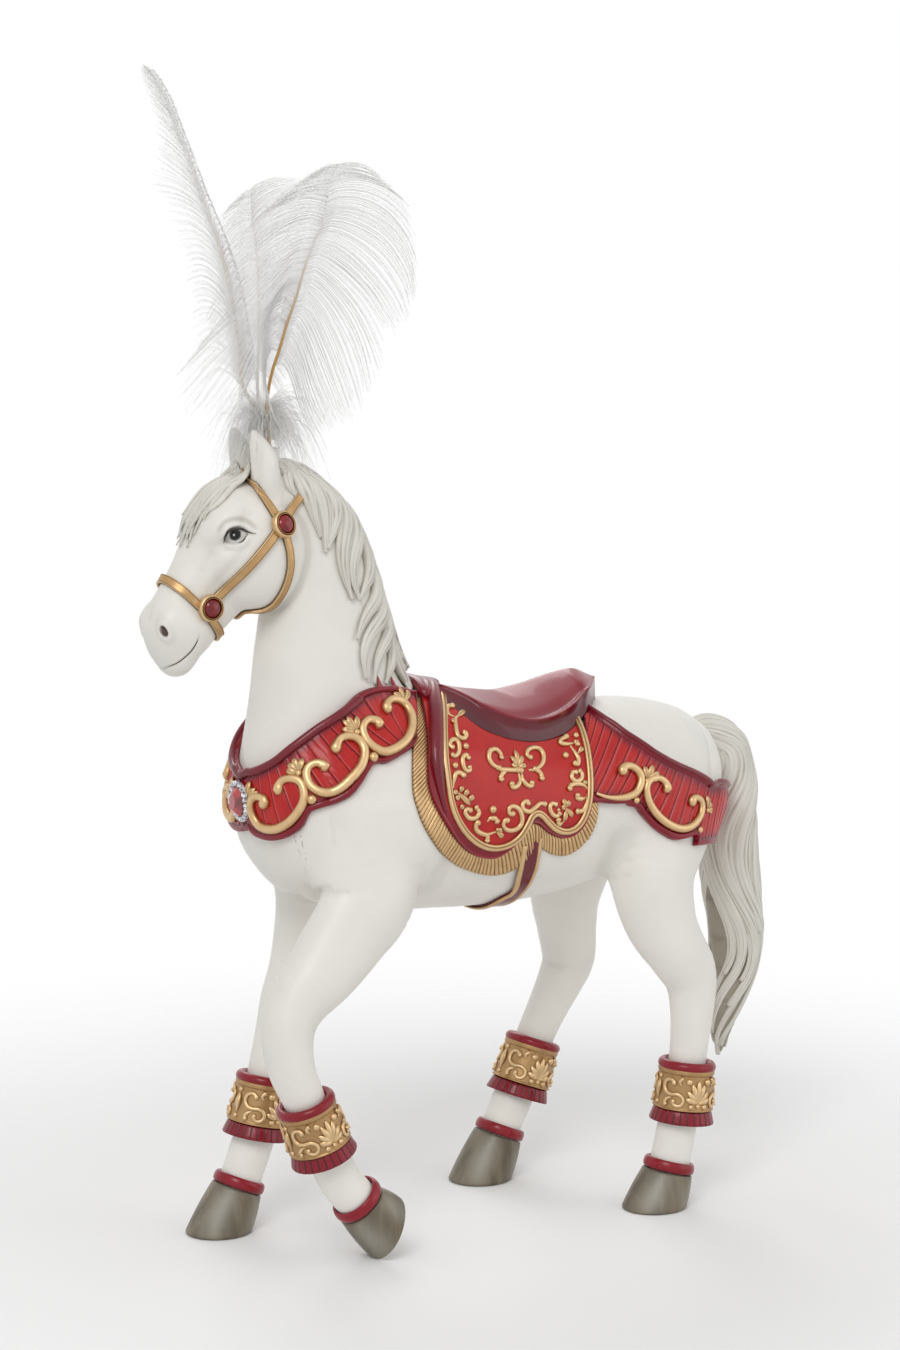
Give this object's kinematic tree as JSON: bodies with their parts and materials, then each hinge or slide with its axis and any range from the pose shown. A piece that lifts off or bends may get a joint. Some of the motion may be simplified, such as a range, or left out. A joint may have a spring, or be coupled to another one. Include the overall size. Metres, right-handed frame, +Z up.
{
  "type": "horse figurine",
  "caption": "Walking show horse figurine in white resin with a red and gold collar, saddle cloth, breeching, leg cuffs and bridle, and an ostrich feather plume on its head.",
  "frame": {"origin": "on the ground, under the centre of the figure's bounding box", "axes": "+Z up, the horse faces -X, its left side faces -Y"},
  "size_m": [0.303, 0.1024, 0.4691],
  "materials": {
    "ivory_resin": "satin ivory paint with a grey antique wash, on cast resin",
    "hair_resin": "satin off-white paint with grey-beige wash in the grooves, on cast resin",
    "hoof_resin": "satin grey-brown paint on cast resin",
    "red_paint": "scarlet paint shaded to crimson, satin gloss, on cast resin",
    "burgundy_paint": "burgundy paint, gloss, on cast resin",
    "antique_gold": "antique gold paint with brown wash, on cast resin",
    "eye_gloss": "dark brown gloss",
    "red_stone": "polished deep red cabochon",
    "red_crystal": "faceted bright red acrylic stone",
    "clear_stone": "clear faceted stones in a silvery setting",
    "feather": "white ostrich feather and down"
  },
  "bodies": {
    "root": {"body_casting": "ivory_resin", "mane": "hair_resin", "forelock": "hair_resin", "tail": "hair_resin", "hoof_fore_left": "hoof_resin", "coronet_band_fore_left": "red_paint", "cuff_lining_fore_left": "red_paint", "cuff_plate_fore_left": "antique_gold", "hoof_fore_right": "hoof_resin", "coronet_band_fore_right": "red_paint", "cuff_lining_fore_right": "red_paint", "cuff_plate_fore_right": "antique_gold", "hoof_hind_left": "hoof_resin", "coronet_band_hind_left": "red_paint", "cuff_lining_hind_left": "red_paint", "cuff_plate_hind_left": "antique_gold", "hoof_hind_right": "hoof_resin", "coronet_band_hind_right": "red_paint", "cuff_lining_hind_right": "red_paint", "cuff_plate_hind_right": "antique_gold", "collar": "red_paint", "collar_piping": "burgundy_paint", "breeching": "red_paint", "breeching_piping": "burgundy_paint", "saddle_cloth": "red_paint", "fringe": "antique_gold", "saddle_front_roll": "burgundy_paint", "saddle": "burgundy_paint", "girth": "burgundy_paint", "girth_edging_front": "antique_gold", "girth_edging_rear": "antique_gold", "gold_cord_left": "antique_gold", "collar_scrolls_left": "antique_gold", "breeching_scrolls_left": "antique_gold", "cloth_emblem_left": "antique_gold", "eye_left": "eye_gloss", "rosette_rim_upper_left": "antique_gold", "rosette_cabochon_upper_left": "red_stone", "rosette_rim_lower_left": "antique_gold", "rosette_cabochon_lower_left": "red_stone", "gold_cord_right": "antique_gold", "collar_scrolls_right": "antique_gold", "breeching_scrolls_right": "antique_gold", "cloth_emblem_right": "antique_gold", "eye_right": "eye_gloss", "rosette_rim_upper_right": "antique_gold", "rosette_cabochon_upper_right": "red_stone", "rosette_rim_lower_right": "antique_gold", "rosette_cabochon_lower_right": "red_stone", "bridle": "antique_gold", "brooch_stone_ring": "clear_stone", "brooch_crystal": "red_crystal", "plume_binding": "feather", "feather_tall": "feather", "feather_middle": "feather", "feather_right": "feather", "plume_fluff": "feather"}
  },
  "joints": []
}
